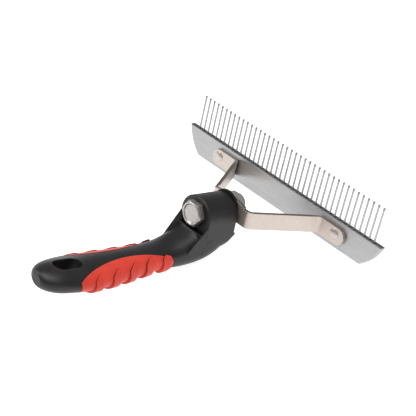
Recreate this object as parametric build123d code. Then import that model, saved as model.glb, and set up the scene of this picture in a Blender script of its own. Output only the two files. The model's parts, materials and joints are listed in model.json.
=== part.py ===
from build123d import *
import math
import os

# Undercoat rake: a comb plate with forty press-fitted steel pins on a bent steel bracket, which is
# clamped by one bolt to the boss of a plastic handle with a soft grip.
#
# Everything is modelled in the tool's own frame: X runs along the comb, +Y runs from the handle to
# the comb and is the direction of the bolt, +Z runs along the pins.  The origin is the middle of the
# row of pins, on the comb plate's top edge.  At the end the tool is tipped back onto its plate's lower
# edge and its handle's belly, the way it lies on a table, and stood on z = 0.

# ---- comb ---------------------------------------------------------------------------------------
PIN_COUNT = 40
PIN_PITCH = 4.0
PIN_DIAMETER = 1.3
PIN_TIP_DIAMETER = 1.6
PIN_FREE_LENGTH = 23.0
PIN_SEAT_DEPTH = 6.0
PIN_COUNTERSINK = 0.45

PLATE_THICKNESS = 4.0
PLATE_HEIGHT = 17.4
PLATE_TOP_HALF = 85.2
PLATE_LOW_HALF = 72.8
PLATE_END_BULGE = (81.3, -8.6)
PLATE_EDGE_CHAMFER = 0.4

# ---- bracket ------------------------------------------------------------------------------------
AXIS_Z = -7.8
STRIP_Z = -8.8
STRIP_THICKNESS = 2.1
STRIP_WIDTH = 10.7
EYE_HALF_HEIGHT = 7.2
EYE_RADIUS = 54.0
EYE_HALF_LENGTH = 14.0
# The bends are not quite alike on the two sides: the flat web reaches further right of the bolt.
WEB_BENDS = (-12.6, 18.5)
TAB_FOLDS = (-37.0, 38.4)
TAB_ENDS = (-57.9, 59.5)
BEND_RADIUS = 4.0
STRIP_BLANK_MARGIN = 2.0
RIVET_X = 52.0
RIVET_Z = -7.9
RIVET_DIAMETER = 4.0
RIVET_HEAD_DIAMETER = 6.6
RIVET_HEAD_HEIGHT = 0.75
RIVET_RIM_HEIGHT = 0.12
RIVET_SHOULDER = (0.62, 0.8)

# ---- bolt stack, along Y ------------------------------------------------------------------------
BOLT_DIAMETER = 8.0
BOLT_LENGTH = 35.0
BOLT_CHAMFER = 1.0
HEAD_ACROSS_FLATS = 14.0
BOLT_HEAD_HEIGHT = 4.2
HEAD_DISH_DIAMETER = 12.0
HEAD_DISH_FLOOR = 10.6
HEAD_DISH_DEPTH = 0.5
CORNER_CUT_ANGLE = 30
CORNER_CIRCLE_SHARE = 0.95
CORNER_CONE_REACH = 8.0
BORE_CLEARANCE = 0.06
SLEEVE_DIAMETER = 11.0
WASHER_DIAMETER = 16.0
WASHER_THICKNESS = 1.6
FRICTION_WASHER_DIAMETER = 20.0
FRICTION_WASHER_THICKNESS = 1.6
NUT_ACROSS_FLATS = 13.0
NUT_HEIGHT = 7.2
NUT_HEX_HEIGHT = 4.9
NUT_COLLAR_DIAMETER = 11.6
NUT_CROWN_RADIUS = 1.5
NUT_RING_HEIGHT = 1.7
NUT_RING_WALL = 1.0
NUT_RING_SINK = 0.3
SLIDE_GAP = 0.1

# ---- boss of the handle -------------------------------------------------------------------------
BOSS_RADIUS = 12.65
BOSS_AXIS_Z = -10.1
BOSS_FOOT_Z = -20.5
BOSS_REAR = -69.3
BOSS_FRONT = -46.4
BOSS_FRONT_DROP = 1.7
BOSS_EDGE_BEVEL = 0.6
# Behind the boss the handle is cut level under the bolt's head, with a shallow pocket at the boss.
LEDGE_Z = -17.5
POCKET_LENGTH = 1.9
POCKET_FLOOR_Z = -20.0
POCKET_HALF_WIDTH = 9.4
# Each cheek beside the bolt's head slopes down inwards from its outer profile to its inner one.
CHEEK_THICKNESS = 3.0
CHEEK_TOE_IN = 4.5
CHEEK_PIVOT_Y = -68.0
CHEEK_OUTSIDE = [(-68.0, -11.4), (-69.3, -12.4), (-73.4, -17.4), (-81.0, -27.0), (-68.0, -31.0)]
CHEEK_INSIDE = [(-68.0, -15.4), (-69.3, -16.4), (-71.8, -19.2), (-78.5, -27.5), (-68.0, -31.0)]

# ---- handle: each section is a squared-off oval ---------------------------------------------------
# (centre y, centre z, lean in degrees, half width, half depth, squareness)
# A squareness of 2 is an ellipse, and more is boxier.
HANDLE_SECTIONS = [
    (-177.8, -25.7, 0, 3.8, 3.2, 2.0),
    (-175.8, -25.9, 0, 7.6, 5.1, 2.0),
    (-171.8, -26.3, 0, 10.8, 6.4, 2.1),
    (-165.5, -27.0, 0, 13.3, 7.3, 2.0),
    (-158.0, -27.8, 0, 14.9, 7.4, 1.9),
    (-149.0, -28.7, 0, 15.2, 7.4, 1.9),
    (-139.0, -29.5, 0, 14.5, 7.7, 1.9),
    (-129.0, -30.2, 0, 13.4, 8.0, 1.9),
    (-118.0, -30.6, 0, 12.0, 7.8, 2.0),
    (-107.0, -30.7, 0, 10.7, 7.2, 2.1),
    (-97.0, -30.7, 0, 10.4, 6.9, 2.2),
    (-87.5, -30.8, 8, 11.1, 7.6, 2.3),
    (-77.0, -29.8, 22, 12.0, 9.2, 2.5),
    (-65.5, -26.7, 44, 12.3, 11.3, 2.8),
    (-59.5, -20.9, 66, 12.2, 13.5, 3.2),
    (-58.7, -11.5, 90, 11.9, 11.8, 3.3),
]
# The full chin under the boss, in the same terms.
CHIN_SECTIONS = [
    (-72.0, -24.0, 0, 11.0, 9.0, 3.0),
    (-62.0, -20.0, 0, 12.2, 13.2, 3.2),
    (-54.0, -20.0, 0, 12.4, 11.5, 3.2),
    (-48.6, -20.0, 0, 12.4, 9.1, 3.2),
    (-45.2, -20.0, 0, 12.2, 4.2, 3.2),
]
SECTION_POINTS = 24

HOLE_CENTRE = (-158.5, -20.6)
HOLE_SLOPE = -10
HOLE_LENGTH = 18.0
HOLE_WIDTH = 10.0
HOLE_REACH = 20.0

# ---- soft grip ----------------------------------------------------------------------------------
GRIP_REAR = -158.0
GRIP_FRONT = -89.5
GRIP_TIP_Z = -30.5
GRIP_CHIN = (-104.0, -45.0)
GRIP_CHIN_LEAN = 4.0
GRIP_OVERRUN = (12.0, 14.0)
GRIP_DEPTH = 1.5
GRIP_PROUD = 0.15
STRIPE_LEVEL = -30.6
STRIPE_MIDDLE = (4.4, -121.0)
STRIPE_REAR_HALF = 13.8
STRIPE_FRONT_HALF = 11.2
RIB_COUNT = 5
RIB_FIRST = -149.0
RIB_PITCH = 12.9
RIB_HEIGHT = 1.25
RIB_SAG = 0.6
RIB_LEAD = 2.0
RIB_LENGTH = 5.0
RIB_FADE = 3.5
RIB_SUNK = -0.5
RIB_RAKE = 1.4

# ---- rest pose ----------------------------------------------------------------------------------
STEEPEST_TILT = -22.0
SHALLOWEST_TILT = -6.0
TILT_STEPS = 14

BIG = 60.0


def along_y(y, x=0.0, z=AXIS_Z):
    """A plane at (x, y, z) whose normal is +Y, whose own X is the comb's X and whose own Y points down."""
    return Plane(origin=(x, y, z), x_dir=(1, 0, 0), z_dir=(0, 1, 0))


def rod(diameter, y_start, y_end, x=0.0, z=AXIS_Z):
    """A cylinder along Y."""
    return extrude(along_y(y_start, x, z) * Circle(diameter / 2), y_end - y_start)


def hexagon_bar(across_flats, y_start, y_end):
    """A hexagonal bar about the bolt's axis with two flats level and two corners out along X."""
    corner_radius = across_flats / math.sqrt(3)
    outline = along_y(y_start) * RegularPolygon(corner_radius, 6)
    return extrude(outline, y_end - y_start)


def corner_cone(across_flats, y_face, direction):
    """The solid that trims a hexagon's corners where it meets a face turned to a 30 degree cone."""
    face_radius = across_flats / 2 * CORNER_CIRCLE_SHARE
    wide = face_radius + CORNER_CONE_REACH / math.tan(math.radians(CORNER_CUT_ANGLE))
    small = along_y(y_face) * Circle(face_radius)
    large = along_y(y_face + direction * CORNER_CONE_REACH) * Circle(wide)
    return loft([small, large])


# ---- comb ---------------------------------------------------------------------------------------
def pin_positions():
    first = -PIN_PITCH * (PIN_COUNT - 1) / 2
    return [first + PIN_PITCH * i for i in range(PIN_COUNT)]


def comb_pin(x):
    shank_length = PIN_SEAT_DEPTH + PIN_FREE_LENGTH - PIN_TIP_DIAMETER / 2
    shank = extrude(Plane(origin=(x, 0, -PIN_SEAT_DEPTH)) * Circle(PIN_DIAMETER / 2), shank_length)
    tip = Pos(x, 0, PIN_FREE_LENGTH - PIN_TIP_DIAMETER / 2) * Sphere(PIN_TIP_DIAMETER / 2)
    return shank + tip


def comb_plate():
    right_end = ThreePointArc(
        (PLATE_TOP_HALF, 0), PLATE_END_BULGE, (PLATE_LOW_HALF, -PLATE_HEIGHT)
    )
    left_end = mirror(right_end, about=Plane.YZ)
    top = Line((-PLATE_TOP_HALF, 0), (PLATE_TOP_HALF, 0))
    bottom = Line((-PLATE_LOW_HALF, -PLATE_HEIGHT), (PLATE_LOW_HALF, -PLATE_HEIGHT))
    outline = make_face([top, right_end, bottom, left_end])
    plate = extrude(Plane.XZ * outline, PLATE_THICKNESS / 2, both=True)
    rims = [e for e in plate.edges() if abs(abs(e.center().Y) - PLATE_THICKNESS / 2) < 0.01]
    plate = chamfer(rims, PLATE_EDGE_CHAMFER)
    for x in pin_positions():
        plate -= extrude(Plane(origin=(x, 0, 0)) * Circle(PIN_DIAMETER / 2), -PIN_SEAT_DEPTH)
        mouth = Plane(origin=(x, 0, 0)) * Circle(PIN_DIAMETER / 2 + PIN_COUNTERSINK)
        throat = Plane(origin=(x, 0, -PIN_COUNTERSINK)) * Circle(PIN_DIAMETER / 2)
        plate -= loft([mouth, throat])
    for x in (-RIVET_X, RIVET_X):
        plate -= rod(RIVET_DIAMETER, -PLATE_THICKNESS, PLATE_THICKNESS, x, RIVET_Z)
    return plate


def rivet(x):
    tab_face = -PLATE_THICKNESS / 2 - STRIP_THICKNESS
    shank = rod(RIVET_DIAMETER, tab_face, PLATE_THICKNESS / 2, x, RIVET_Z)
    return shank + low_head(x, tab_face, -1) + low_head(x, PLATE_THICKNESS / 2, 1)


def low_head(x, y_seat, direction):
    """A shallow domed rivet head that stands on the plane y = y_seat."""
    half = RIVET_HEAD_DIAMETER / 2
    crown = Line((0, 0), (0, RIVET_HEAD_HEIGHT))
    shoulder = (half * RIVET_SHOULDER[0], RIVET_HEAD_HEIGHT * RIVET_SHOULDER[1])
    dome = ThreePointArc((0, RIVET_HEAD_HEIGHT), shoulder, (half, RIVET_RIM_HEIGHT))
    rim = Line((half, RIVET_RIM_HEIGHT), (half, 0))
    seat = Line((half, 0), (0, 0))
    profile = make_face([crown, dome, rim, seat])
    plane = Plane(origin=(x, y_seat, RIVET_Z), x_dir=(1, 0, 0), z_dir=(0, 0, direction))
    axis = Axis((x, y_seat, RIVET_Z), (0, 1, 0))
    return revolve(plane * profile, axis)


# ---- bracket ------------------------------------------------------------------------------------
def web_rear():
    return BOSS_FRONT + FRICTION_WASHER_THICKNESS + SLIDE_GAP


def bracket():
    web_y = web_rear() + STRIP_THICKNESS / 2
    tab_y = -PLATE_THICKNESS / 2 - STRIP_THICKNESS / 2
    left = [(TAB_ENDS[0], tab_y), (TAB_FOLDS[0], tab_y), (WEB_BENDS[0], web_y)]
    right = [(WEB_BENDS[1], web_y), (TAB_FOLDS[1], tab_y), (TAB_ENDS[1], tab_y)]
    route = [(x, y, STRIP_Z) for x, y in left + right]
    middle_line = FilletPolyline(*route, radius=BEND_RADIUS)
    section = Plane(origin=route[0], x_dir=(0, 1, 0), z_dir=(1, 0, 0)) * Rectangle(
        STRIP_THICKNESS, 2 * (EYE_HALF_HEIGHT + STRIP_BLANK_MARGIN)
    )
    strip = sweep(section, path=middle_line)
    eye_offset = EYE_RADIUS - EYE_HALF_HEIGHT
    eye = Pos(0, -eye_offset) * Circle(EYE_RADIUS) & Pos(0, eye_offset) * Circle(EYE_RADIUS)
    eye &= Rectangle(2 * EYE_HALF_LENGTH, STRIP_WIDTH * 2)
    middle_x = (TAB_ENDS[0] + TAB_ENDS[1]) / 2
    strip_outline = SlotOverall(TAB_ENDS[1] - TAB_ENDS[0], STRIP_WIDTH)
    outline = Pos(middle_x, AXIS_Z - STRIP_Z) * strip_outline + eye
    blank = strip & extrude(along_y(-BIG) * outline, BIG)
    blank -= rod(BOLT_DIAMETER + 2 * BORE_CLEARANCE, -BIG, 0)
    for x in (-RIVET_X, RIVET_X):
        blank -= rod(RIVET_DIAMETER, -BIG, 0, x, RIVET_Z)
    return blank


# ---- bolt stack ---------------------------------------------------------------------------------
def hex_bolt():
    top = BOSS_REAR - BOLT_HEAD_HEIGHT
    head = hexagon_bar(HEAD_ACROSS_FLATS, top, BOSS_REAR) & corner_cone(HEAD_ACROSS_FLATS, top, 1)
    dish_mouth = along_y(top) * Circle(HEAD_DISH_DIAMETER / 2)
    dish_floor = along_y(top + HEAD_DISH_DEPTH) * Circle(HEAD_DISH_FLOOR / 2)
    dish = loft([dish_mouth, dish_floor])
    end = BOSS_REAR + BOLT_LENGTH
    shank = rod(BOLT_DIAMETER, BOSS_REAR, end)
    tip = [e for e in shank.edges() if abs(e.center().Y - end) < 0.01]
    shank = chamfer(tip, BOLT_CHAMFER)
    return head - dish + shank


def boss_sleeve():
    bore = BOLT_DIAMETER + 4 * BORE_CLEARANCE
    return rod(SLEEVE_DIAMETER, BOSS_REAR, BOSS_FRONT) - rod(bore, -BIG * 2, 0)


def friction_washer():
    bore = BOLT_DIAMETER + 4 * BORE_CLEARANCE
    ring = rod(FRICTION_WASHER_DIAMETER, BOSS_FRONT, BOSS_FRONT + FRICTION_WASHER_THICKNESS)
    return ring - rod(bore, -BIG * 2, 0)


def washer_rear():
    return web_rear() + STRIP_THICKNESS + SLIDE_GAP


def plain_washer():
    bore = BOLT_DIAMETER + 4 * BORE_CLEARANCE
    ring = rod(WASHER_DIAMETER, washer_rear(), washer_rear() + WASHER_THICKNESS)
    return ring - rod(bore, -BIG * 2, 0)


def lock_nut():
    rear = washer_rear() + WASHER_THICKNESS
    shoulder = rear + NUT_HEX_HEIGHT
    front = rear + NUT_HEIGHT
    body = hexagon_bar(NUT_ACROSS_FLATS, rear, shoulder)
    body &= corner_cone(NUT_ACROSS_FLATS, rear, 1)
    body &= corner_cone(NUT_ACROSS_FLATS, shoulder, -1)
    collar = rod(NUT_COLLAR_DIAMETER, shoulder, front)
    crown = [e for e in collar.edges() if abs(e.center().Y - front) < 0.01]
    body += fillet(crown, NUT_CROWN_RADIUS)
    body -= rod(BOLT_DIAMETER, -BIG, 0)
    return body - ring_seat(front)


def ring_seat(front):
    mouth = front - NUT_RING_SINK
    return rod(NUT_COLLAR_DIAMETER - 2 * NUT_RING_WALL, mouth - NUT_RING_HEIGHT, mouth)


def nut_locking_ring():
    front = washer_rear() + WASHER_THICKNESS + NUT_HEIGHT
    return ring_seat(front) - rod(BOLT_DIAMETER, -BIG, 0)


# ---- handle -------------------------------------------------------------------------------------
def oval(y, z, lean, half_width, half_depth, squareness, grow=0.0):
    slope = math.radians(lean)
    normal = (0, math.cos(slope), math.sin(slope))
    plane = Plane(origin=(0, y, z), x_dir=(1, 0, 0), z_dir=normal)
    points = []
    for i in range(SECTION_POINTS):
        turn = 2 * math.pi * i / SECTION_POINTS
        across = (half_width + grow) * rounded(math.cos(turn), squareness)
        deep = (half_depth + grow) * rounded(math.sin(turn), squareness)
        points.append((across, deep))
    return plane * make_face(Spline(*points, periodic=True))


def rounded(value, squareness):
    """A cosine or sine pushed outwards, so that an ellipse becomes a squared-off oval."""
    return math.copysign(abs(value) ** (2 / squareness), value)


def grip_length(grow):
    """The handle's own surface over the grip, grown or shrunk."""
    rear = GRIP_REAR - GRIP_OVERRUN[0]
    front = GRIP_FRONT + GRIP_OVERRUN[1]
    spans = [s for s in HANDLE_SECTIONS if rear < s[0] < front]
    return loft([oval(*s, grow=grow) for s in spans])


def profile_prism(points, half_width):
    """A side profile, given as (y, z) corners, extruded to both sides of the middle."""
    face = make_face(Polyline(*[(0, y, z) for y, z in points], close=True))
    return extrude(face, half_width, dir=(1, 0, 0), both=True)


def boss():
    """A round-topped block about the bolt with bevelled ends, whose top drops a little forwards."""
    end_radius = BOSS_RADIUS - BOSS_EDGE_BEVEL
    outlines = [
        arch_outline(BOSS_REAR, end_radius, BOSS_FOOT_Z),
        arch_outline(BOSS_REAR + BOSS_EDGE_BEVEL, BOSS_RADIUS, BOSS_FOOT_Z),
        arch_outline(BOSS_FRONT - BOSS_EDGE_BEVEL, BOSS_RADIUS, BOSS_FOOT_Z, BOSS_FRONT_DROP),
        arch_outline(BOSS_FRONT, end_radius, BOSS_FOOT_Z, BOSS_FRONT_DROP),
    ]
    return loft(outlines, ruled=True)


def arch_outline(y, radius, foot_z, drop=0.0):
    """Half a circle on straight sides, in a plane across the bolt."""
    shoulder_z = BOSS_AXIS_Z - drop
    top = ThreePointArc(
        (radius, y, shoulder_z), (0, y, shoulder_z + radius), (-radius, y, shoulder_z)
    )
    sides = Polyline(
        (-radius, y, shoulder_z), (-radius, y, foot_z), (radius, y, foot_z), (radius, y, shoulder_z)
    )
    return make_face([top, sides])


def hanging_slot():
    y, z = HOLE_CENTRE
    frame = Plane(origin=(0, y, z)).rotated((HOLE_SLOPE, 0, 0))
    outline = frame * (Rot(0, 0, 90) * SlotOverall(HOLE_LENGTH, HOLE_WIDTH))
    return extrude(outline, HOLE_REACH, both=True)


def grip_zone():
    """Everything outside the black stripe on top of the handle, between the grip's two ends."""
    side = profile_prism(
        [
            (GRIP_REAR, 0),
            (GRIP_REAR, -BIG),
            (GRIP_CHIN[0] - GRIP_CHIN_LEAN, -BIG),
            GRIP_CHIN,
            (GRIP_FRONT, GRIP_TIP_Z),
            (GRIP_FRONT, 0),
        ],
        BIG / 2,
    )
    rear = (STRIPE_REAR_HALF, GRIP_REAR)
    front = (STRIPE_FRONT_HALF, GRIP_FRONT)
    right = ThreePointArc(rear, STRIPE_MIDDLE, front)
    left = mirror(right, about=Plane.YZ)
    behind = Line((-rear[0], rear[1]), rear)
    ahead = Line((-front[0], front[1]), front)
    stripe = make_face([right, ahead, left, behind])
    top_stripe = extrude(Pos(0, 0, STRIPE_LEVEL) * stripe, BIG)
    return side - top_stripe


def rib(y, half_width, centre_z):
    """One sawtooth rib: a steep step behind, fading out forwards, chevron shaped on top."""
    crest_end = y + RIB_LENGTH
    stations = [(y - RIB_LEAD, RIB_HEIGHT), (crest_end, RIB_HEIGHT), (crest_end + RIB_FADE, RIB_SUNK)]
    ring = Pos(0, 0, -RIB_SAG) * loft([section_at(s, grow) for s, grow in stations], ruled=True)
    point = y + RIB_RAKE * half_width
    behind = [
        (-BIG, y), (-half_width, y), (0, point), (half_width, y), (BIG, y), (BIG, y - BIG), (-BIG, y - BIG)
    ]
    upper = extrude(Pos(0, 0, centre_z) * make_face(Polyline(*behind, close=True)), BIG)
    lower = extrude(Pos(0, y - BIG / 2, centre_z) * Rectangle(2 * BIG, BIG), -BIG)
    return ring - upper - lower


def section_at(y, grow):
    """The handle's oval at any y along the grip, between the two nearest listed sections."""
    for low, high in zip(HANDLE_SECTIONS, HANDLE_SECTIONS[1:]):
        if low[0] <= y <= high[0]:
            t = (y - low[0]) / (high[0] - low[0])
            z, lean, a, b, n = [p + t * (q - p) for p, q in zip(low[1:], high[1:])]
            return oval(y, z, 0, a, b, n, grow)


def section_size(y):
    box = section_at(y, 0).bounding_box()
    return box.max.X, (box.min.Z + box.max.Z) / 2


def soft_grip(zone):
    skin = grip_length(GRIP_PROUD)
    for i in range(RIB_COUNT):
        y = RIB_FIRST + RIB_PITCH * i
        half_width, centre_z = section_size(y)
        skin += rib(y, half_width, centre_z)
    return (skin & zone) - grip_length(-GRIP_DEPTH)


def cheek(side):
    """The cheek that runs from the boss down to the handle beside the bolt's head."""
    outer_x = side * BOSS_RADIUS
    inner_x = side * (BOSS_RADIUS - CHEEK_THICKNESS)
    outside = make_face(Polyline(*[(outer_x, y, z) for y, z in CHEEK_OUTSIDE], close=True))
    inside = make_face(Polyline(*[(inner_x, y, z) for y, z in CHEEK_INSIDE], close=True))
    pivot = Pos(outer_x, CHEEK_PIVOT_Y, 0)
    return pivot * Rot(0, 0, -side * CHEEK_TOE_IN) * pivot.inverse() * loft([inside, outside], ruled=True)


def block(y_start, y_end, z_start, z_end, half_width=BIG / 2):
    """A box from y_start to y_end and z_start to z_end, centred on X = 0."""
    size = Box(2 * half_width, y_end - y_start, z_end - z_start)
    return Pos(0, (y_start + y_end) / 2, (z_start + z_end) / 2) * size


def handle_core(zone):
    neck = loft([oval(*s) for s in HANDLE_SECTIONS]) - block(BOSS_FRONT, BIG, -BIG, BIG)
    chin = loft([oval(*s) for s in CHIN_SECTIONS]) - block(BOSS_FRONT, BIG, BOSS_FOOT_Z, BIG)
    body = neck + chin
    body -= block(BOSS_REAR - BIG / 4, BOSS_REAR, LEDGE_Z, BIG)
    body -= block(BOSS_REAR - POCKET_LENGTH, BOSS_REAR, POCKET_FLOOR_Z, LEDGE_Z, POCKET_HALF_WIDTH)
    body = body + boss() + cheek(1) + cheek(-1)
    body -= rod(SLEEVE_DIAMETER, -BIG * 2, 0)
    body -= hanging_slot()
    return body - (zone - grip_length(-GRIP_DEPTH))


# ---- assembly -----------------------------------------------------------------------------------
def build_nodes():
    zone = grip_zone()
    handle_side = {
        "handle_core": handle_core(zone),
        "soft_grip": soft_grip(zone),
        "hex_bolt": hex_bolt(),
        "boss_sleeve": boss_sleeve(),
        "friction_washer": friction_washer(),
        "plain_washer": plain_washer(),
        "lock_nut": lock_nut(),
        "nut_locking_ring": nut_locking_ring(),
    }
    head_side = {
        "bracket": bracket(),
        "comb_plate": comb_plate(),
        "rivets": Compound(children=[rivet(x) for x in (-RIVET_X, RIVET_X)]),
    }
    for i, x in enumerate(pin_positions()):
        head_side[f"pin_{i + 1:02d}"] = comb_pin(x)
    return handle_side, head_side


def lowest(shapes, tilt):
    return min((Rot(tilt, 0, 0) * s).bounding_box().min.Z for s in shapes)


def resting_tilt(handle_shapes, head_shapes):
    """The tilt about X at which the handle's belly and the plate's edge touch one level surface."""
    steep, shallow = STEEPEST_TILT, SHALLOWEST_TILT
    for _ in range(TILT_STEPS):
        tilt = (steep + shallow) / 2
        if lowest(handle_shapes, tilt) > lowest(head_shapes, tilt):
            steep = tilt
        else:
            shallow = tilt
    return (steep + shallow) / 2


def main():
    os.makedirs("parts", exist_ok=True)
    handle_side, head_side = build_nodes()
    belly = [handle_side["handle_core"], handle_side["soft_grip"]]
    edge = [head_side["comb_plate"]]
    tilt = resting_tilt(belly, edge)
    tipped = {name: Rot(tilt, 0, 0) * s for name, s in (handle_side | head_side).items()}
    boxes = [s.bounding_box() for s in tipped.values()]
    middle_x = (min(b.min.X for b in boxes) + max(b.max.X for b in boxes)) / 2
    middle_y = (min(b.min.Y for b in boxes) + max(b.max.Y for b in boxes)) / 2
    floor = min(b.min.Z for b in boxes)
    rest = Pos(-middle_x, -middle_y, -floor)
    for name, shape in tipped.items():
        export_step(rest * shape, f"parts/{name}.step")
    print("tilt", round(tilt, 4), "shift", round(-middle_y, 4), round(-floor, 4))


main()
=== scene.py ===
import bpy
import json
import math
from mathutils import Matrix, Vector

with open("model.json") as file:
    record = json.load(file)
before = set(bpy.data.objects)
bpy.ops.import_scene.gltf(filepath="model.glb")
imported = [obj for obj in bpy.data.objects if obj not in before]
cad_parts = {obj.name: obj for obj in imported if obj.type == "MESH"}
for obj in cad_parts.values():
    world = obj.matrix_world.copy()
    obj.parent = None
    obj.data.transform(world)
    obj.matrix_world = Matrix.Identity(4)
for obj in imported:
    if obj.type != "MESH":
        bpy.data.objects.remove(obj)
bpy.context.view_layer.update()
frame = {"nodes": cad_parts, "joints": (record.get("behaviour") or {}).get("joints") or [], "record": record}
nodes = frame["nodes"]
joint = frame["joints"][0]

# ---- the tool's own frame ---------------------------------------------------------------------
# X along the comb, +Y along the bolt towards the comb, +Z along the pins, origin in the middle of the
# pin row.  The bolt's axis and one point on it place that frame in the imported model.
MM = 0.001
BOLT_POINT = Vector((0, -44 * MM, -7.8 * MM))
PIN_TIP = 23 * MM
tilt = Matrix.Rotation(math.atan2(joint["axis"][2], joint["axis"][1]), 3, "X")
tool_origin = Vector(joint["pos_m"]) - tilt @ BOLT_POINT
pin_way = tilt @ Vector((0, 0, 1))
bolt_way = tilt @ Vector((0, 1, 0))


def in_row(point):
    """A point of the tool's own frame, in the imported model's frame."""
    return tool_origin + tilt @ Vector(point)


# ---- material building blocks -----------------------------------------------------------------
class Look:
    """A material under construction: a Principled shader and the nodes that feed it."""

    def __init__(self, name, roughness, metallic=0.0, **sockets):
        self.material = bpy.data.materials.new(name)
        self.material.use_nodes = True
        self.tree = self.material.node_tree
        self.tree.nodes.clear()
        self.shader = self.add("ShaderNodeBsdfPrincipled")
        output = self.add("ShaderNodeOutputMaterial")
        self.link(self.shader.outputs["BSDF"], output.inputs["Surface"])
        self.shader.inputs["Roughness"].default_value = roughness
        self.shader.inputs["Metallic"].default_value = metallic
        for socket, value in sockets.items():
            self.shader.inputs[socket.replace("_", " ")].default_value = value
        coordinates = self.add("ShaderNodeTexCoord")
        self.place = coordinates.outputs["Object"]
        self.own_normal = coordinates.outputs["Normal"]

    def add(self, kind, **settings):
        node = self.tree.nodes.new(kind)
        for setting, value in settings.items():
            setattr(node, setting, value)
        return node

    def link(self, source, target):
        self.tree.links.new(source, target)

    def math(self, operation, first, second=0.5, clamp=False):
        node = self.add("ShaderNodeMath", operation=operation, use_clamp=clamp)
        for socket, value in zip(node.inputs, (first, second)):
            if isinstance(value, (int, float)):
                socket.default_value = value
            else:
                self.link(value, socket)
        return node.outputs[0]

    def noise(self, scale, detail=3.0, stretch=(1, 1, 1), turn=(0, 0, 0), roughness=0.55):
        """Noise with `scale` features per metre, squeezed by `stretch` along the turned axes."""
        mapping = self.add("ShaderNodeMapping", vector_type="TEXTURE")
        mapping.inputs["Rotation"].default_value = turn
        mapping.inputs["Scale"].default_value = stretch
        self.link(self.place, mapping.inputs["Vector"])
        node = self.add("ShaderNodeTexNoise")
        node.inputs["Scale"].default_value = scale
        node.inputs["Detail"].default_value = detail
        node.inputs["Roughness"].default_value = roughness
        self.link(mapping.outputs["Vector"], node.inputs["Vector"])
        return node.outputs["Fac"]

    def spread(self, value, low, high, to_low=0.0, to_high=1.0):
        """Maps low..high of a value to to_low..to_high, clamped."""
        node = self.add("ShaderNodeMapRange")
        for socket, number in zip(("From Min", "From Max", "To Min", "To Max"), (low, high, to_low, to_high)):
            node.inputs[socket].default_value = number
        self.link(value, node.inputs["Value"])
        return node.outputs["Result"]

    def blend(self, factor, first, second):
        """A colour between two colours, each a triple or another colour socket."""
        node = self.add("ShaderNodeMix", data_type="RGBA")
        self.link(factor, node.inputs[0])
        for socket, colour in zip((node.inputs[6], node.inputs[7]), (first, second)):
            if isinstance(colour, tuple):
                socket.default_value = (*colour, 1)
            else:
                self.link(colour, socket)
        return node.outputs[2]

    def corners(self, reach):
        """1 on convex edges, falling to 0 a few tenths of a millimetre away, and 0 on flat faces."""
        rounded = self.add("ShaderNodeBevel", samples=4)
        rounded.inputs["Radius"].default_value = reach
        true_normal = self.add("ShaderNodeNewGeometry").outputs["Normal"]
        likeness = self.add("ShaderNodeVectorMath", operation="DOT_PRODUCT")
        self.link(rounded.outputs["Normal"], likeness.inputs[0])
        self.link(true_normal, likeness.inputs[1])
        return self.spread(likeness.outputs["Value"], 0.985, 0.80), rounded.outputs["Normal"]

    def hollows(self, reach):
        """0 in creases and under ledges, 1 in the open."""
        node = self.add("ShaderNodeAmbientOcclusion", samples=8)
        node.inputs["Distance"].default_value = reach
        return node.outputs["AO"]

    def along(self, way, start, end):
        """0 at `start` and 1 at `end`, two distances in metres from the pin row along `way`."""
        node = self.add("ShaderNodeVectorMath", operation="DOT_PRODUCT")
        self.link(self.place, node.inputs[0])
        node.inputs[1].default_value = way
        datum = tool_origin.dot(way)
        return self.spread(node.outputs["Value"], datum + start, datum + end)

    def facing(self, way, low, high):
        """0 to 1 as the piece's own surface turns towards `way`."""
        node = self.add("ShaderNodeVectorMath", operation="DOT_PRODUCT")
        self.link(self.own_normal, node.inputs[0])
        node.inputs[1].default_value = way
        return self.spread(node.outputs["Value"], low, high)

    def finish(self, colour, roughness=None, heights=(), normal=None):
        """Connects the colour, the roughness, and bumps given as (height, depth in metres)."""
        self.link(colour, self.shader.inputs["Base Color"])
        if roughness is not None:
            self.link(roughness, self.shader.inputs["Roughness"])
        for height, depth in heights:
            bump = self.add("ShaderNodeBump")
            bump.inputs["Distance"].default_value = depth
            self.link(height, bump.inputs["Height"])
            if normal is not None:
                self.link(normal, bump.inputs["Normal"])
            normal = bump.outputs["Normal"]
        if normal is not None:
            self.link(normal, self.shader.inputs["Normal"])
        return self.material


# ---- plastics ---------------------------------------------------------------------------------
def handle_plastic():
    look = Look("handle_plastic", 0.4)
    edge_highlight, soft_normal = look.corners(0.6 * MM)
    cloud = look.noise(70, 4)
    grain = look.noise(2600, 2)
    scuff = look.spread(look.noise(420, 5, (1, 6, 1)), 0.60, 0.74)
    shade = look.hollows(5 * MM)
    colour = look.blend(look.spread(cloud, 0.3, 0.7), (0.007, 0.007, 0.0075), (0.012, 0.012, 0.0125))
    # painted highlight: convex edges lightened towards a pale grey
    colour = look.blend(look.math("MULTIPLY", edge_highlight, 0.3), colour, (0.06, 0.06, 0.062))
    colour = look.blend(look.math("MULTIPLY", scuff, 0.12), colour, (0.04, 0.04, 0.042))
    look.link(look.spread(shade, 0.35, 0.95, 0.04, 0.42), look.shader.inputs["Specular IOR Level"])
    roughness = look.math("ADD", look.spread(cloud, 0.3, 0.7, 0.34, 0.42), look.math("MULTIPLY", grain, 0.1))
    return look.finish(colour, roughness, [(grain, 0.02 * MM), (cloud, 0.06 * MM)], soft_normal)


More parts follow.
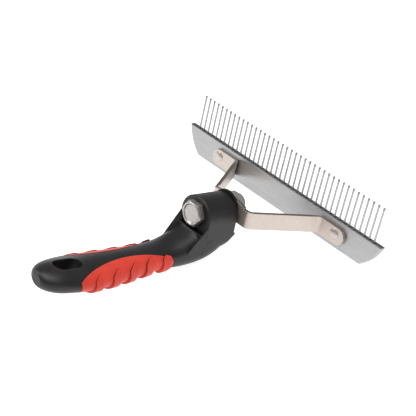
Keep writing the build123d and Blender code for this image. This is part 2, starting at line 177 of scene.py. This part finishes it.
def grip_rubber():
    look = Look("grip_rubber", 0.5, Specular_IOR_Level=0.35)
    edge_highlight, soft_normal = look.corners(0.4 * MM)
    cloud = look.noise(55, 3)
    grain = look.noise(1900, 3)
    shade = look.hollows(2.6 * MM)
    colour = look.blend(look.spread(cloud, 0.35, 0.65), (0.60, 0.040, 0.022), (0.70, 0.056, 0.032))
    # painted highlight: convex edges lightened towards a paler red
    colour = look.blend(look.math("MULTIPLY", edge_highlight, 0.25), colour, (0.80, 0.13, 0.09))
    colour = look.blend(look.spread(shade, 0.35, 0.85, 0.85, 0.0), colour, (0.13, 0.006, 0.004))
    roughness = look.spread(grain, 0.3, 0.7, 0.42, 0.56)
    return look.finish(colour, roughness, [(grain, 0.03 * MM), (cloud, 0.1 * MM)], soft_normal)


def ring_plastic():
    look = Look("ring_plastic", 0.45)
    cloud = look.noise(300, 3)
    colour = look.blend(cloud, (0.36, 0.36, 0.34), (0.50, 0.50, 0.47))
    return look.finish(colour, None, [(cloud, 0.03 * MM)])


def washer_nylon():
    look = Look("washer_nylon", 0.55, Specular_IOR_Level=0.2)
    cloud = look.noise(300, 3)
    colour = look.blend(cloud, (0.006, 0.006, 0.006), (0.011, 0.011, 0.011))
    return look.finish(colour, None, [(cloud, 0.03 * MM)])


# ---- metals -----------------------------------------------------------------------------------
OWN_TURN = (math.atan2(joint["axis"][2], joint["axis"][1]), 0, 0)


def brushed(name, dark, light, rough, way, metallic=1.0, fine=900, depth=0.004 * MM, pin_side_shade_span=(2, 3, 0)):
    """Steel with fine parallel scratches, stretched along `way`, and painted shade on faces turned towards the
    pins.

    The last argument gives the turn towards the pins at which the painted shade starts and is full, and its
    strength.
    """
    look = Look(name, rough[0], metallic)
    edge_highlight, soft_normal = look.corners(0.3 * MM)
    lines = look.noise(fine, 4, way, OWN_TURN)
    patches = look.noise(45, 3)
    specks = look.spread(look.noise(1400, 2), 0.70, 0.82)
    shade = look.hollows(1.2 * MM)
    start, full, strength = pin_side_shade_span
    pin_side_shade = look.math("MULTIPLY", look.facing(pin_way, start, full), strength)
    tone = look.math("ADD", look.math("MULTIPLY", lines, 0.6), look.math("MULTIPLY", patches, 0.4))
    colour = look.blend(look.spread(tone, 0.35, 0.65), dark, light)
    # painted highlight: convex edges lightened beyond the light tone
    colour = look.blend(look.math("MULTIPLY", edge_highlight, 0.4), colour, tuple(min(1, 1.2 * c) for c in light))
    colour = look.blend(look.math("MULTIPLY", specks, 0.18), colour, tuple(0.6 * c for c in dark))
    # painted shade: faces turned towards the pins darkened
    colour = look.blend(pin_side_shade, colour, tuple(0.22 * c for c in dark))
    colour = look.blend(look.spread(shade, 0.2, 0.8, 0.6, 0.0), colour, tuple(0.25 * c for c in dark))
    roughness = look.spread(tone, 0.3, 0.7, *rough)
    return look.finish(colour, roughness, [(lines, depth), (patches, 0.02 * MM)], soft_normal)


def pin_steel():
    """Drawn wire, with its round tip a little darker and painted shade at its foot."""
    look = Look("pin_steel", 0.4, 0.7)
    lines = look.noise(2600, 3, (1, 1, 12), OWN_TURN)
    colour = look.blend(look.spread(lines, 0.3, 0.7), (0.42, 0.42, 0.42), (0.54, 0.54, 0.54))
    tip = look.along(pin_way, PIN_TIP - 2.2 * MM, PIN_TIP - 1.3 * MM)
    foot_shade = look.along(pin_way, 1.8 * MM, 0.1 * MM)
    colour = look.blend(look.math("MULTIPLY", tip, 0.4), colour, (0.07, 0.07, 0.075))
    # painted shade at the foot of each pin
    colour = look.blend(look.math("MULTIPLY", foot_shade, 0.6), colour, (0.05, 0.05, 0.055))
    roughness = look.spread(lines, 0.3, 0.7, 0.36, 0.48)
    return look.finish(colour, roughness, [(lines, 0.01 * MM)])


LENGTHWAYS = (14, 1, 1)
ALL_WAYS = (1, 1, 1)
# painted shade on faces turned towards the pins: where it starts, where it is full, and its strength
CHAMFER_SHADE = (0.4, 0.6, 0.7)
TOP_EDGE_SHADE = (0.6, 0.9, 0.8)
looks = {
    "handle_plastic": handle_plastic(),
    "grip_rubber": grip_rubber(),
    "ring_plastic": ring_plastic(),
    "washer_nylon": washer_nylon(),
    "plate_steel": brushed(
        "plate_steel", (0.36, 0.36, 0.365), (0.44, 0.44, 0.445), (0.28, 0.40), LENGTHWAYS, 0.95,
        pin_side_shade_span=CHAMFER_SHADE
    ),
    "bracket_steel": brushed(
        "bracket_steel", (0.52, 0.45, 0.40), (0.60, 0.53, 0.48), (0.32, 0.44), LENGTHWAYS, 0.85,
        pin_side_shade_span=TOP_EDGE_SHADE
    ),
    "rivet_steel": brushed("rivet_steel", (0.46, 0.42, 0.40), (0.55, 0.51, 0.48), (0.28, 0.40), ALL_WAYS, 0.9),
    "bolt_steel": brushed("bolt_steel", (0.38, 0.36, 0.345), (0.50, 0.48, 0.46), (0.26, 0.40), ALL_WAYS, 0.8, 500),
    "pin_steel": pin_steel(),
}
for part in frame["record"]["subparts"]:
    piece = nodes[part["node"]]
    piece.data.materials.clear()
    piece.data.materials.append(looks[part["material_slot"]])


# ---- floor, light and camera ------------------------------------------------------------------
def floor():
    mesh = bpy.data.meshes.new("floor")
    half = 4.0
    corners = [(-half, -half, 0), (half, -half, 0), (half, half, 0), (-half, half, 0)]
    mesh.from_pydata(corners, [], [(0, 1, 2, 3)])
    plane = bpy.data.objects.new("floor", mesh)
    bpy.context.scene.collection.objects.link(plane)
    paint = bpy.data.materials.new("floor_paint")
    paint.use_nodes = True
    shader = paint.node_tree.nodes["Principled BSDF"]
    shader.inputs["Base Color"].default_value = (0.5, 0.5, 0.5, 1)
    shader.inputs["Roughness"].default_value = 0.9
    shader.inputs["Specular IOR Level"].default_value = 0.1
    shader.inputs["Emission Color"].default_value = (1, 1, 1, 1)
    shader.inputs["Emission Strength"].default_value = 0.9
    mesh.materials.append(paint)


def softbox(name, place, aim, size, power, colour=(1, 1, 1)):
    lamp = bpy.data.lights.new(name, "AREA")
    lamp.shape = "RECTANGLE"
    lamp.size, lamp.size_y = size
    lamp.energy = power
    lamp.color = colour
    thing = bpy.data.objects.new(name, lamp)
    thing.location = place
    thing.rotation_mode = "QUATERNION"
    thing.rotation_quaternion = (Vector(aim) - Vector(place)).to_track_quat("-Z", "Y")
    bpy.context.scene.collection.objects.link(thing)


def surroundings():
    world = bpy.data.worlds.new("studio")
    bpy.context.scene.world = world
    world.use_nodes = True
    background = world.node_tree.nodes["Background"]
    background.inputs["Color"].default_value = (1, 1, 1, 1)
    background.inputs["Strength"].default_value = 0.3
    softbox("overhead", (0.1, -0.1, 1.1), (0, 0, 0), (1.1, 1.1), 12)
    softbox("key_left", (-0.9, -0.6, 0.8), (0, 0, 0.02), (0.6, 0.6), 6)


def camera():
    """The viewpoint, measured in the tool's own frame."""
    data = bpy.data.cameras.new("camera")
    data.sensor_width = 36
    data.lens = 97.99
    data.clip_start = 0.01
    thing = bpy.data.objects.new("camera", data)
    bpy.context.scene.collection.objects.link(thing)
    right = tilt @ Vector((0.647976, 0.735931, 0.196298))
    down = tilt @ Vector((0.467235, -0.180533, -0.865505))
    forward = tilt @ Vector((-0.601514, 0.652544, -0.460834))
    place = in_row((0.399589, -0.493379, 0.299360))
    turn = Matrix((right, -down, -forward)).transposed().to_4x4()
    thing.matrix_world = Matrix.Translation(place) @ turn
    bpy.context.scene.camera = thing


floor()
surroundings()
camera()
bpy.context.scene.view_settings.view_transform = "Standard"
